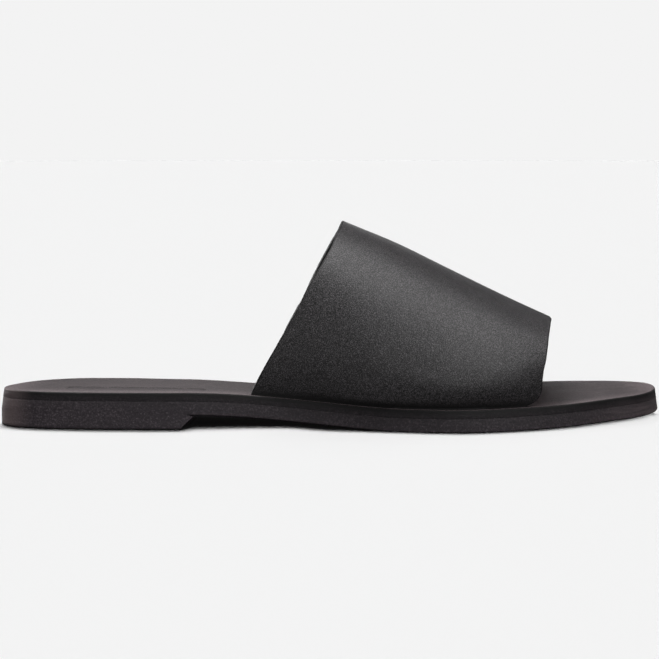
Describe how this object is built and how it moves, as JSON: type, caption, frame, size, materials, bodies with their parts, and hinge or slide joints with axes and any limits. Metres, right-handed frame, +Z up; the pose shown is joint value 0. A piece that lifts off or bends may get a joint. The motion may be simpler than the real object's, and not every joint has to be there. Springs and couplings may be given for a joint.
{
  "type": "slide sandal",
  "caption": "Flat slide sandal for a right foot: one wide leather band over a slim leather sole with a low heel and a squarish round toe.",
  "frame": {"origin": "on the floor, under the middle of the sandal's box, which is the sole's", "axes": "+X towards the toe, -Y the outer (lateral) side of the right foot, +Z up"},
  "size_m": [0.258, 0.0881, 0.0783],
  "materials": {
    "band_leather": "smooth black leather with a fine grain and a soft satin sheen, cut edges inked black",
    "footbed_leather": "smooth dark brown leather, matt to satin, with a darker inked edge",
    "sole_leather": "dense sole leather, side inked dark brown and burnished",
    "heel_leather": "stacked sole leather, side inked dark brown and burnished"
  },
  "bodies": {
    "root": {"upper": "band_leather", "insole": "footbed_leather", "outsole": "sole_leather", "heel": "heel_leather"}
  },
  "joints": []
}
